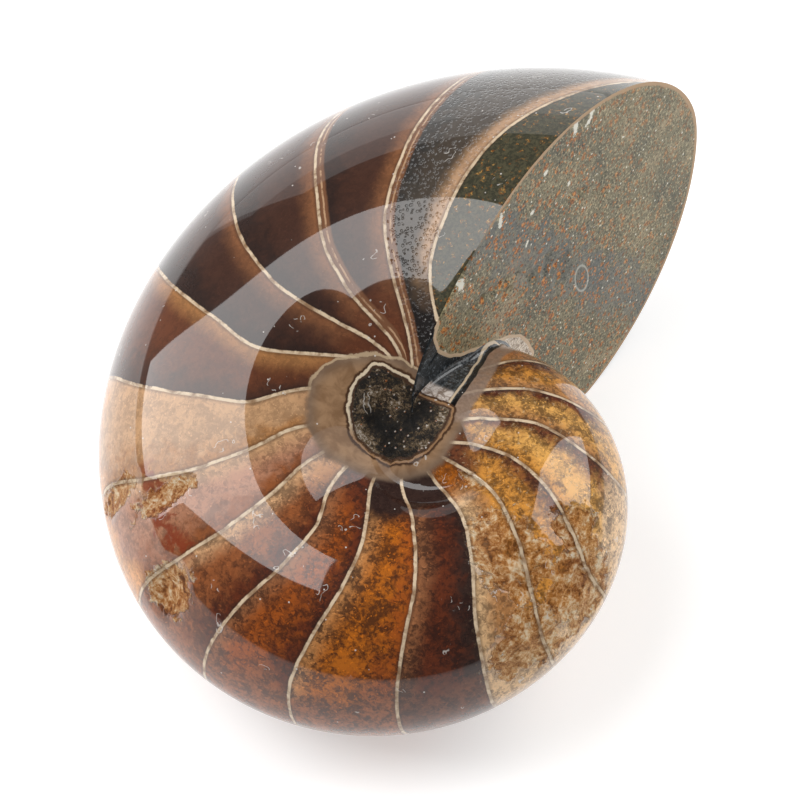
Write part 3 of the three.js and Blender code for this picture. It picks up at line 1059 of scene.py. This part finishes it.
# Each chip: out and high on the face, half its length and width, and its turn in degrees.
CALCITE_CHIPS = [
    (39.1, 21.0, 1.0, 0.45, 60), (36.3, 22.0, 1.6, 0.4, 70), (38.2, 20.0, 0.7, 0.3, 20),
    (15.0, 19.6, 0.8, 0.5, 80), (22.6, 21.6, 0.9, 0.35, 65), (30.4, 20.4, 0.4, 0.3, 30),
    (27.0, 17.0, 0.35, 0.3, 10), (25.0, 13.5, 0.5, 0.2, 50), (33.0, 14.5, 0.35, 0.2, 75),
]
chips = 0.0
for chip in CALCITE_CHIPS:
    edge = sawn.add(on_face_spot(sawn, *chip), sawn.times(sawn.less(fine_grains, 0.5), 3.2))
    chips = sawn.either(chips, sawn.fade(edge, 1.1, 0.9))
mud = sawn.mix(sawn.times(chips, 0.9), mud, tint("dedccf"))
print(len(CALCITE_CHIPS), "chips of calcite")

# %% The rim, the last septum and the filling behind it
infill_mm = sawn.add(sawn.attribute("infill_mm"), sawn.times(sawn.less(small_clouds, 0.5), 0.35))
dark_fill = sawn.ramp(
    sawn.noise(2.2, 4, 0.75),
    [(0.35, tint("0d0f0f")), (0.55, tint("23272a")), (0.66, tint("5b6064")), (0.78, tint("b8b8b4"))],
)
porous = sawn.ramp(
    sawn.noise(2.0, 5, 0.8, 0.8),
    [(0.36, tint("4a3c30")), (0.46, tint("a08f7c")), (0.58, tint("ddd2c2"))],
)
behind = sawn.mix(sawn.fade(face_out, 14.5, 16.5), dark_fill, porous)
behind_mask = sawn.fade(infill_mm, 0.06, -0.06)
mud = sawn.mix(behind_mask, mud, behind)
septum_line = sawn.fade(sawn.math("ABSOLUTE", infill_mm), 0.26, 0.16)
mud = sawn.mix(septum_line, mud, tint("bca488"))
rim_mm = sawn.add(sawn.attribute("rim_mm"), sawn.times(sawn.less(small_clouds, 0.5), 0.5))
rim_line = sawn.times(sawn.fade(rim_mm, 0.6, 0.35), sawn.fade(face_out, 18.0, 24.0))
mud = sawn.mix(rim_line, mud, tint("a98a68"))
sawn.tell("rim and last septum")

# %% Connect the sawn finish
SATIN = (0.42, 0.42, 0.42, 1)
GLOSSY = (0.2, 0.2, 0.2, 1)
sawn.put(sawn.shader.inputs["Base Color"], mud)
sawn.put(sawn.shader.inputs["Roughness"], sawn.mix(behind_mask, SATIN, GLOSSY))
sawn.put(sawn.shader.inputs["Specular IOR Level"], 0.2)
sawn.put(sawn.shader.inputs["Normal"], sawn.bump(fine_grains, 0.03, 0.5))
sawn.tell("sawn finish")

# %% [markdown]
# ## Finishing the piece
#
# The two materials go into the slots that the flank and the sawn face already use. Shading is
# smooth everywhere but across the crisp edge of the cut.

# %% Give each face its material
shell.data.materials[FLANK_SLOT] = flank.material
shell.data.materials[SAWN_SLOT] = sawn.material
deselect_everything()
shell.select_set(True)
bpy.context.view_layer.objects.active = shell
bpy.ops.object.shade_smooth_by_angle(angle=math.radians(32))
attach(shell, "root")
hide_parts("nautilus")
print("finished piece:", len(shell.data.vertices), "vertices,", len(shell.data.polygons), "faces")

# %% [markdown]
# ## Camera, floor and lights
#
# The specimen lies on a white table under large soft lamps, whose outlines show in the polish.
# A long lens from above keeps its shape true. The camera's place came out of the same fit as the
# coil's measures, and it is turned until the coil's centre falls on its pixel of the picture.
# The lamps are plain lit panels, each square to one direction, with edges given as slopes from
# it, because in a polished surface the place of a lamp's edge is what the eye sees.

# %% The white table
bpy.ops.mesh.primitive_plane_add(size=5.0, location=(0, 0, 0))
floor = bpy.context.object
floor.name = "floor"
paper = bpy.data.materials.new("white_table")
paper.use_nodes = True
paper_shader = paper.node_tree.nodes["Principled BSDF"]
paper_shader.inputs["Base Color"].default_value = (0.85, 0.85, 0.85, 1)
paper_shader.inputs["Emission Color"].default_value = (1, 1, 1, 1)
paper_shader.inputs["Emission Strength"].default_value = 0.36
paper_shader.inputs["Roughness"].default_value = 0.8
floor.data.materials.append(paper)
print("table:", [round(side, 1) for side in floor.dimensions], "m")

# %% The camera
LENS_MM = 126.7
SENSOR_MM = 36
PICTURE_PIXELS = 800
COIL_IN_PICTURE = (429.91, 482.507)
camera_data = bpy.data.cameras.new("camera")
camera = bpy.data.objects.new("camera", camera_data)
bpy.context.scene.collection.objects.link(camera)
bpy.context.scene.camera = camera
camera_data.lens = LENS_MM
camera_data.sensor_width = SENSOR_MM
CAMERA_DISTANCE = 309.3 * MM
CAMERA_ELEVATION = math.radians(58.35)
CAMERA_ROLL = math.radians(-3.1)
back = Vector((0, -math.cos(CAMERA_ELEVATION), math.sin(CAMERA_ELEVATION)))
camera.location = coil_centre + CAMERA_DISTANCE * back
level = Matrix.Rotation(math.pi / 2 - CAMERA_ELEVATION, 4, "X")
rolled = level @ Matrix.Rotation(CAMERA_ROLL, 4, "Z")
focal_pixels = LENS_MM / SENSOR_MM * PICTURE_PIXELS
picture_middle = PICTURE_PIXELS / 2
aside_pixels = picture_middle - COIL_IN_PICTURE[0]
up_pixels = COIL_IN_PICTURE[1] - picture_middle
aim = rolled.to_3x3() @ Vector((aside_pixels, up_pixels, -focal_pixels))
forward = rolled.to_3x3() @ Vector((0, 0, -1))
camera.rotation_euler = (forward.rotation_difference(aim).to_matrix() @ rolled.to_3x3()).to_euler()
print("camera is", round(CAMERA_DISTANCE, 3), "m from the coil's centre")

# %% Lit panels
STAGE_CENTRE = Vector((0, 0, 0.03))


def panel(name, facing, along, across_range, along_range, distance, radiance):
    """A lit panel square to one direction. Its ranges are slopes from that direction."""
    facing = Vector(facing).normalized()
    along = Vector(along).normalized()
    across = along.cross(facing)
    data = bpy.data.lights.new(name, "AREA")
    data.shape = "RECTANGLE"
    data.size = distance * (across_range[1] - across_range[0])
    data.size_y = distance * (along_range[1] - along_range[0])
    data.energy = radiance * math.pi * data.size * data.size_y
    lamp = bpy.data.objects.new(name, data)
    bpy.context.scene.collection.objects.link(lamp)
    middle = facing + across * sum(across_range) / 2 + along * sum(along_range) / 2
    turned = Matrix((across, along, facing)).transposed().to_4x4()
    lamp.matrix_world = Matrix.Translation(STAGE_CENTRE + distance * middle) @ turned
    lamp.visible_camera = False
    print(name, "is", round(data.size, 2), "by", round(data.size_y, 2), "m")


def heading(azimuth, elevation=0.0):
    """The direction with this azimuth and elevation, in degrees."""
    turn, rise = math.radians(azimuth), math.radians(elevation)
    return (math.cos(turn) * math.cos(rise), math.sin(turn) * math.cos(rise), math.sin(rise))


# The left softbox hangs over the shell: one edge is at this azimuth and this high.
LEFT_EDGE = 150
OVER = 56
leaning = heading(LEFT_EDGE + 180, 90 - OVER)
panel("left_softbox", heading(LEFT_EDGE, OVER), leaning, (0, 0.6), (-1.235, 0.5), 0.8, 4.6)
panel("right_softbox", heading(18, 41), heading(198, 49), (-0.4, 0.4), (-0.46, 0.46), 0.8, 3.6)
panel("back_reflector", heading(105), (0, 0, 1), (-0.42, 0.42), (-0.02, 0.62), 0.8, 0.8)
panel("back_glow", heading(98), (0, 0, 1), (-0.6, 0.6), (-0.02, 0.36), 0.9, 0.5)

# %% Dim light from all round
world = bpy.data.worlds.new("studio")
bpy.context.scene.world = world
world.use_nodes = True
world.node_tree.nodes["Background"].inputs["Color"].default_value = (0.2, 0.2, 0.2, 1)
bpy.context.scene.view_settings.view_transform = "Standard"
